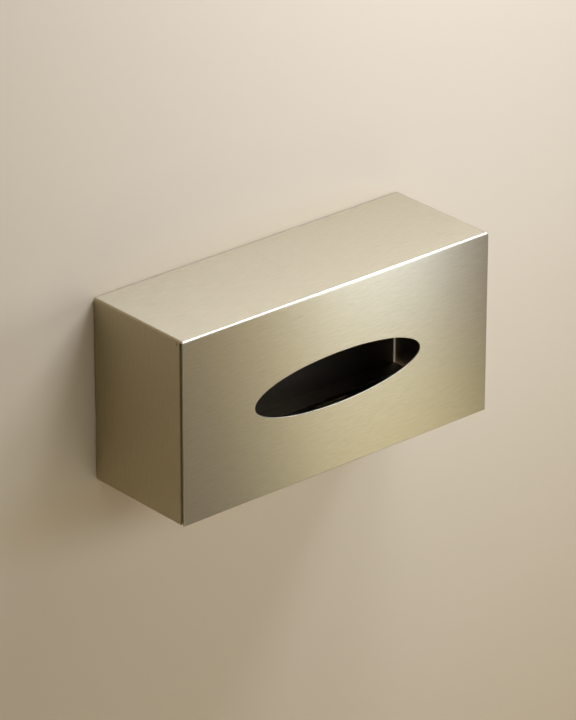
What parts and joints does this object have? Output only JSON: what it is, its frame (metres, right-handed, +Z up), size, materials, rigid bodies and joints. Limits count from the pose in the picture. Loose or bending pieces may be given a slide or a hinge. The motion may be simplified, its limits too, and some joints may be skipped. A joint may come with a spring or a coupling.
{
  "type": "paper towel dispenser",
  "caption": "Wall-mounted brushed metal box that dispenses folded paper towels through an elliptical front opening, with a hinged floor that drops for filling.",
  "frame": {"origin": "on the wall, behind the middle of the closed box", "axes": "+X to the right along the wall, +Y into the wall, +Z up; the front faces -Y"},
  "size_m": [0.26, 0.089, 0.129],
  "materials": {
    "brushed_cover": "champagne-coloured stainless sheet, fine brushed",
    "brushed_door": "champagne-coloured stainless sheet, brushed along the width",
    "inner_sheet": "plain mill-finish stainless sheet",
    "hinge_metal": "drawn stainless strip, smooth",
    "bright_fastener": "bright turned stainless",
    "latch_metal": "satin nickel-plated",
    "black_rubber": "matt black rubber"
  },
  "bodies": {
    "housing": {"cover": "brushed_cover", "hanger_rail": "inner_sheet", "left_landing_bracket": "inner_sheet", "right_landing_bracket": "inner_sheet", "clinch_nuts": "bright_fastener", "cover_screws": "bright_fastener", "strike_angle": "inner_sheet", "door_bumpers": "black_rubber", "wall_plate": "inner_sheet", "hinge_fixed_leaf": "hinge_metal", "hinge_pin": "bright_fastener"},
    "floor_door": {"door": "brushed_door", "hinge_door_leaf": "hinge_metal", "left_pack_rail": "inner_sheet", "right_pack_rail": "inner_sheet", "latch_body": "latch_metal", "latch_nut": "bright_fastener", "latch_washer": "bright_fastener"},
    "latch_turn": {"latch_spindle": "latch_metal", "latch_cam": "inner_sheet", "cam_screw": "bright_fastener"}
  },
  "joints": [
    {"name": "door_hinge", "type": "hinge", "parent": "housing", "child": "floor_door", "pos_m": [0, -0.018, -0.06], "axis": [1, 0, 0], "range_deg": [0, 90]},
    {"name": "latch_quarter_turn", "type": "hinge", "parent": "floor_door", "child": "latch_turn", "pos_m": [0, -0.066, -0.06], "axis": [0, 0, 1], "range_deg": [0, 90]}
  ]
}
